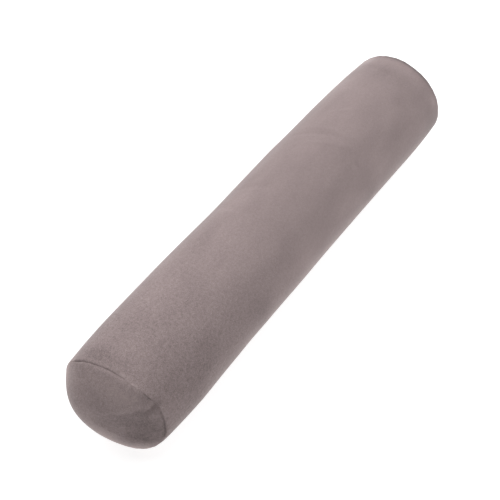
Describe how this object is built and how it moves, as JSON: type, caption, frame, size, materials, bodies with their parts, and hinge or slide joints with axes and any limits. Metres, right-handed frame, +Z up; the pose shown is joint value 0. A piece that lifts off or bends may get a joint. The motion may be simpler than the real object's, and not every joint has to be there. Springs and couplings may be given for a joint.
{
  "type": "body pillow",
  "caption": "Long round body pillow: a firm filled plush roll with a crowned round panel sewn into each end, lying on its side.",
  "frame": {"origin": "middle of the base, on the surface that the pillow lies on", "axes": "+X along the pillow towards the end with the flatter crown, +Z up, +Y across"},
  "size_m": [1, 0.2032, 0.1921],
  "materials": {
    "plush": "short-pile taupe plush, matt, with a faint sheen at grazing angles"
  },
  "bodies": {
    "root": {"tube": "plush", "near_end_panel": "plush", "far_end_panel": "plush"}
  },
  "joints": []
}
